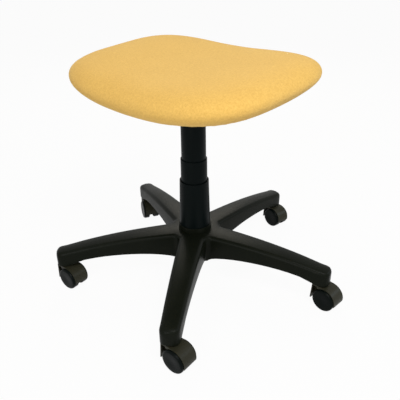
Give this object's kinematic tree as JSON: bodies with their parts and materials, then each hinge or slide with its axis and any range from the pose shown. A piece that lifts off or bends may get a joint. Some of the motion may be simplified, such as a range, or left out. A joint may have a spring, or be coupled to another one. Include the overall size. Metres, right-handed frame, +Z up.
{
  "type": "rolling stool",
  "caption": "Low rolling stool with a dished upholstered seat, height-adjustable gas-lift column with telescopic cover, and a star base on hooded twin-wheel casters.",
  "frame": {"origin": "on the floor, on the axis of the lift column", "axes": "+Z up along the column, -Y towards the front edge of the seat, +X towards the sitter's left, so the release lever points to -X"},
  "size_m": [0.6375, 0.5862, 0.5087],
  "materials": {
    "upholstery_fabric": "felted golden-yellow upholstery cloth with a fine pebbly grain",
    "seat_foam": "moulded flexible foam, wholly inside the cover",
    "plywood": "moulded plywood, unfinished",
    "dust_cover_fabric": "thin black non-woven sheet",
    "zinc_steel": "zinc plated steel",
    "plain_steel": "plain turned or spring steel",
    "black_steel": "black powder coat",
    "handle_plastic": "moulded black plastic, fine texture",
    "guide_plastic": "natural acetal",
    "chromed_rod": "hard chromed and ground rod",
    "piston_alloy": "turned aluminium",
    "buffer_rubber": "black rubber",
    "sleeve_plastic": "satin black polypropylene",
    "base_nylon": "satin black glass-filled nylon",
    "hood_nylon": "satin black nylon",
    "wheel_nylon": "smooth black nylon"
  },
  "bodies": {
    "base": {"star_base": "base_nylon", "column_tube": "black_steel", "guide_bush": "guide_plastic", "lower_washer": "plain_steel", "thrust_bearing": "plain_steel", "cover_lower": "sleeve_plastic", "stem_rear": "zinc_steel", "stem_right": "zinc_steel", "stem_front_right": "zinc_steel", "stem_front_left": "zinc_steel", "stem_left": "zinc_steel", "grip_ring_rear": "plain_steel", "grip_ring_right": "plain_steel", "grip_ring_front_right": "plain_steel", "grip_ring_front_left": "plain_steel", "grip_ring_left": "plain_steel"},
    "spindle": {"piston_rod": "chromed_rod", "piston": "piston_alloy", "bumper": "buffer_rubber", "upper_washer": "plain_steel", "retaining_clip": "plain_steel"},
    "seat": {"seat_cover": "upholstery_fabric", "foam_pad": "seat_foam", "seat_board": "plywood", "dust_cover": "dust_cover_fabric", "tee_nuts": "zinc_steel", "plate_screws": "zinc_steel", "seat_plate": "black_steel", "lever_pin": "zinc_steel", "gas_cylinder": "black_steel", "rod_guide": "guide_plastic", "cover_upper": "sleeve_plastic"},
    "lever": {"lever_rod": "black_steel", "lever_handle": "handle_plastic"},
    "valve_pin": {"release_pin": "zinc_steel"},
    "middle_sleeve": {"cover_middle": "sleeve_plastic"},
    "caster_rear": {"hood_rear": "hood_nylon", "axle_rear": "plain_steel"},
    "wheel_rear_1": {"wheel_rear_1": "wheel_nylon"},
    "wheel_rear_2": {"wheel_rear_2": "wheel_nylon"},
    "caster_right": {"hood_right": "hood_nylon", "axle_right": "plain_steel"},
    "wheel_right_1": {"wheel_right_1": "wheel_nylon"},
    "wheel_right_2": {"wheel_right_2": "wheel_nylon"},
    "caster_front_right": {"hood_front_right": "hood_nylon", "axle_front_right": "plain_steel"},
    "wheel_front_right_1": {"wheel_front_right_1": "wheel_nylon"},
    "wheel_front_right_2": {"wheel_front_right_2": "wheel_nylon"},
    "caster_front_left": {"hood_front_left": "hood_nylon", "axle_front_left": "plain_steel"},
    "wheel_front_left_1": {"wheel_front_left_1": "wheel_nylon"},
    "wheel_front_left_2": {"wheel_front_left_2": "wheel_nylon"},
    "caster_left": {"hood_left": "hood_nylon", "axle_left": "plain_steel"},
    "wheel_left_1": {"wheel_left_1": "wheel_nylon"},
    "wheel_left_2": {"wheel_left_2": "wheel_nylon"}
  },
  "joints": [
    {"name": "seat_swivel", "type": "hinge", "parent": "base", "child": "spindle", "pos_m": [0, 0, 0.0585], "axis": [0, 0, 1], "continuous": true},
    {"name": "seat_lift", "type": "slide", "parent": "spindle", "child": "seat", "axis": [0, 0, 1], "range_m": [-0.085, 0.045]},
    {"name": "middle_sleeve_slide", "type": "slide", "parent": "base", "child": "middle_sleeve", "axis": [0, 0, 1], "range_m": [-0.0425, 0.0225]},
    {"name": "lever_lift", "type": "hinge", "parent": "seat", "child": "lever", "pos_m": [-0.045, 0, 0.412], "axis": [0, 1, 0], "range_deg": [0, 6], "stiffness_Nm_per_rad": 1, "springref_deg": -11.46},
    {"name": "valve_pin_slide", "type": "slide", "parent": "seat", "child": "valve_pin", "axis": [0, 0, -1], "range_m": [0, 0.005]},
    {"name": "swivel_rear", "type": "hinge", "parent": "base", "child": "caster_rear", "pos_m": [0, 0.3, 0.05], "axis": [0, 0, 1], "continuous": true},
    {"name": "spin_rear_1", "type": "hinge", "parent": "caster_rear", "child": "wheel_rear_1", "pos_m": [0.01931, 0.29729, 0.025], "axis": [0.1392, 0.9903, 0], "continuous": true},
    {"name": "spin_rear_2", "type": "hinge", "parent": "caster_rear", "child": "wheel_rear_2", "pos_m": [0.01931, 0.29729, 0.025], "axis": [0.1392, 0.9903, 0], "continuous": true},
    {"name": "swivel_right", "type": "hinge", "parent": "base", "child": "caster_right", "pos_m": [-0.28532, 0.0927, 0.05], "axis": [0, 0, 1], "continuous": true},
    {"name": "spin_right_1", "type": "hinge", "parent": "caster_right", "child": "wheel_right_1", "pos_m": [-0.26794, 0.08385, 0.025], "axis": [0.454, 0.891, 0], "continuous": true},
    {"name": "spin_right_2", "type": "hinge", "parent": "caster_right", "child": "wheel_right_2", "pos_m": [-0.26794, 0.08385, 0.025], "axis": [0.454, 0.891, 0], "continuous": true},
    {"name": "swivel_front_right", "type": "hinge", "parent": "base", "child": "caster_front_right", "pos_m": [-0.17634, -0.24271, 0.05], "axis": [0, 0, 1], "continuous": true},
    {"name": "spin_front_right_1", "type": "hinge", "parent": "caster_front_right", "child": "wheel_front_right_1", "pos_m": [-0.157, -0.24019, 0.025], "axis": [-0.1288, 0.9917, 0], "continuous": true},
    {"name": "spin_front_right_2", "type": "hinge", "parent": "caster_front_right", "child": "wheel_front_right_2", "pos_m": [-0.157, -0.24019, 0.025], "axis": [-0.1288, 0.9917, 0], "continuous": true},
    {"name": "swivel_front_left", "type": "hinge", "parent": "base", "child": "caster_front_left", "pos_m": [0.17634, -0.24271, 0.05], "axis": [0, 0, 1], "continuous": true},
    {"name": "spin_front_left_1", "type": "hinge", "parent": "caster_front_left", "child": "wheel_front_left_1", "pos_m": [0.19574, -0.24077, 0.025], "axis": [-0.0993, 0.9951, 0], "continuous": true},
    {"name": "spin_front_left_2", "type": "hinge", "parent": "caster_front_left", "child": "wheel_front_left_2", "pos_m": [0.19574, -0.24077, 0.025], "axis": [-0.0993, 0.9951, 0], "continuous": true},
    {"name": "swivel_left", "type": "hinge", "parent": "base", "child": "caster_left", "pos_m": [0.28532, 0.0927, 0.05], "axis": [0, 0, 1], "continuous": true},
    {"name": "spin_left_1", "type": "hinge", "parent": "caster_left", "child": "wheel_left_1", "pos_m": [0.30481, 0.09209, 0.025], "axis": [0.0314, 0.9995, 0], "continuous": true},
    {"name": "spin_left_2", "type": "hinge", "parent": "caster_left", "child": "wheel_left_2", "pos_m": [0.30481, 0.09209, 0.025], "axis": [0.0314, 0.9995, 0], "continuous": true}
  ],
  "couplings": [
    {"joint": "middle_sleeve_slide", "follows": "seat_lift", "ratio": 0.5},
    {"joint": "valve_pin_slide", "follows": "lever_lift", "m_per_rad": 0.045}
  ]
}
